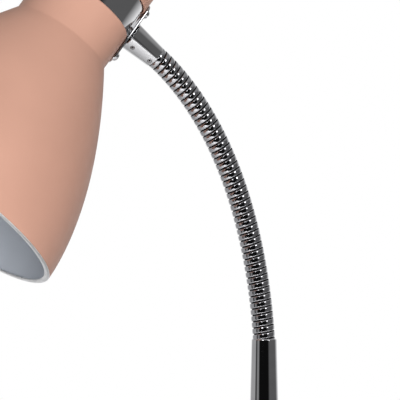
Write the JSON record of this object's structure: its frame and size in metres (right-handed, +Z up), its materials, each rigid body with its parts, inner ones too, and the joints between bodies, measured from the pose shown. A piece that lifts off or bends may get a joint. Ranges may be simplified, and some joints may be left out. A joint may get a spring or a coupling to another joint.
{
  "type": "examination lamp",
  "caption": "Floor-standing examination lamp with a round weighted base, a height-adjustable column, a flexible gooseneck and a bell shade.",
  "frame": {"origin": "centre of the base underside, on the floor under the column", "axes": "+Z up along the column, -X towards the head at rest, +Y to complete a right-handed frame"},
  "size_m": [0.3941, 0.28, 0.9816],
  "materials": {
    "salmon_paint": "matte salmon powder coat, pale grey inside the shade",
    "chrome_plate": "polished chrome plate",
    "gooseneck_steel": "bright plated steel winding",
    "zinc_steel": "zinc plated",
    "brass": "plain brass",
    "iron": "rough cast",
    "rubber": "matte black",
    "black_plastic": "fine grained black",
    "nylon": "natural",
    "porcelain": "white thermoset",
    "glass": "frosted"
  },
  "bodies": {
    "stand": {"base_pad": "rubber", "base_weight": "iron", "base_cover": "salmon_paint", "cord_gland": "black_plastic", "column_bolt": "zinc_steel", "column_plug": "zinc_steel", "column_rosette": "chrome_plate", "outer_tube": "chrome_plate", "guide_bush": "nylon", "clamp_collar": "chrome_plate"},
    "clamp_slider": {"clamp_pad": "nylon"},
    "clamp_handle": {"clamp_screw": "zinc_steel", "clamp_knob": "black_plastic"},
    "mast": {"inner_tube": "chrome_plate", "foot_bush": "nylon", "tube_nipple": "brass"},
    "arm_foot": {"ferrule": "chrome_plate"},
    "arm_01": {"gooseneck_section_01": "gooseneck_steel"},
    "arm_02": {"gooseneck_section_02": "gooseneck_steel"},
    "arm_03": {"gooseneck_section_03": "gooseneck_steel"},
    "arm_04": {"gooseneck_section_04": "gooseneck_steel"},
    "arm_05": {"gooseneck_section_05": "gooseneck_steel"},
    "arm_06": {"gooseneck_section_06": "gooseneck_steel"},
    "arm_07": {"gooseneck_section_07": "gooseneck_steel"},
    "arm_08": {"gooseneck_section_08": "gooseneck_steel"},
    "arm_09": {"gooseneck_section_09": "gooseneck_steel"},
    "arm_10": {"gooseneck_section_10": "gooseneck_steel"},
    "arm_tip": {"neck_sleeve": "chrome_plate", "grub_screw_tip": "zinc_steel", "grub_screw_root": "zinc_steel"},
    "head": {"side_plate": "chrome_plate", "swivel_stud": "zinc_steel", "swivel_nut": "zinc_steel", "plate_screw_upper": "zinc_steel", "plate_screw_lower": "zinc_steel", "chrome_band": "chrome_plate", "shade": "salmon_paint", "head_cap": "salmon_paint", "holder_ring": "zinc_steel", "lampholder_body": "porcelain", "lampholder_thread": "brass", "centre_contact": "brass", "bulb_cap": "zinc_steel", "bulb_glass": "glass", "switch_body": "black_plastic", "switch_nut": "zinc_steel"},
    "button": {"switch_button": "black_plastic"}
  },
  "joints": [
    {"name": "column_slide", "type": "slide", "parent": "stand", "child": "mast", "axis": [0, 0, 1], "range_m": [0, 0.4]},
    {"name": "clamp_pad_slide", "type": "slide", "parent": "stand", "child": "clamp_slider", "axis": [1, 0, 0], "range_m": [0, 0.00125]},
    {"name": "clamp_knob_turn", "type": "hinge", "parent": "clamp_slider", "child": "clamp_handle", "pos_m": [0, 0, 0.6116], "axis": [1, 0, 0], "range_deg": [0, 360]},
    {"name": "arm_swivel", "type": "hinge", "parent": "mast", "child": "arm_foot", "pos_m": [0, 0, 0.6819], "axis": [0, 0, 1], "range_deg": [-160, 160]},
    {"name": "arm_bend_1", "type": "hinge", "parent": "arm_foot", "child": "arm_01", "pos_m": [0, 0, 0.7399], "axis": [0, -1, 0], "range_deg": [-8, 10]},
    {"name": "arm_sway_1", "type": "hinge", "parent": "arm_01", "child": "arm_02", "pos_m": [-0.00147, 0, 0.75667], "axis": [0.9936, 0, 0.1127], "range_deg": [-10, 10]},
    {"name": "arm_bend_2", "type": "hinge", "parent": "arm_02", "child": "arm_03", "pos_m": [-0.00379, 0, 0.77336], "axis": [0, -1, 0], "range_deg": [-8, 10]},
    {"name": "arm_sway_2", "type": "hinge", "parent": "arm_03", "child": "arm_04", "pos_m": [-0.007, 0, 0.78989], "axis": [0.9759, 0, 0.2183], "range_deg": [-10, 10]},
    {"name": "arm_bend_3", "type": "hinge", "parent": "arm_04", "child": "arm_05", "pos_m": [-0.01114, 0, 0.80621], "axis": [0, -1, 0], "range_deg": [-8, 10]},
    {"name": "arm_sway_3", "type": "hinge", "parent": "arm_05", "child": "arm_06", "pos_m": [-0.01632, 0, 0.82223], "axis": [0.94, 0, 0.3412], "range_deg": [-10, 10]},
    {"name": "arm_bend_4", "type": "hinge", "parent": "arm_06", "child": "arm_07", "pos_m": [-0.02263, 0, 0.83785], "axis": [0, -1, 0], "range_deg": [-8, 10]},
    {"name": "arm_sway_4", "type": "hinge", "parent": "arm_07", "child": "arm_08", "pos_m": [-0.03018, 0, 0.8529], "axis": [0.8721, 0, 0.4893], "range_deg": [-10, 10]},
    {"name": "arm_bend_5", "type": "hinge", "parent": "arm_08", "child": "arm_09", "pos_m": [-0.03909, 0, 0.86719], "axis": [0, -1, 0], "range_deg": [-8, 10]},
    {"name": "arm_sway_5", "type": "hinge", "parent": "arm_09", "child": "arm_10", "pos_m": [-0.04946, 0, 0.88046], "axis": [0.7496, 0, 0.6619], "range_deg": [-10, 10]},
    {"name": "arm_bend_6", "type": "hinge", "parent": "arm_10", "child": "arm_tip", "pos_m": [-0.06134, 0, 0.89239], "axis": [0, -1, 0], "range_deg": [-8, 10]},
    {"name": "head_turn", "type": "hinge", "parent": "arm_tip", "child": "head", "pos_m": [-0.08014, 0, 0.90682], "axis": [-0.7934, 0, 0.6088], "range_deg": [-60, 60]},
    {"name": "switch_press", "type": "slide", "parent": "head", "child": "button", "axis": [-0.6088, 0, -0.7934], "range_m": [0, 0.002], "stiffness_N_per_m": 200, "springref_m": -0.001}
  ],
  "couplings": [
    {"joint": "clamp_knob_turn", "follows": "clamp_pad_slide", "rad_per_m": 5026.5},
    {"joint": "arm_bend_2", "follows": "arm_bend_1", "ratio": 1},
    {"joint": "arm_bend_3", "follows": "arm_bend_1", "ratio": 1},
    {"joint": "arm_bend_4", "follows": "arm_bend_1", "ratio": 1},
    {"joint": "arm_bend_5", "follows": "arm_bend_1", "ratio": 1},
    {"joint": "arm_bend_6", "follows": "arm_bend_1", "ratio": 1},
    {"joint": "arm_sway_2", "follows": "arm_sway_1", "ratio": 1},
    {"joint": "arm_sway_3", "follows": "arm_sway_1", "ratio": 1},
    {"joint": "arm_sway_4", "follows": "arm_sway_1", "ratio": 1},
    {"joint": "arm_sway_5", "follows": "arm_sway_1", "ratio": 1}
  ]
}
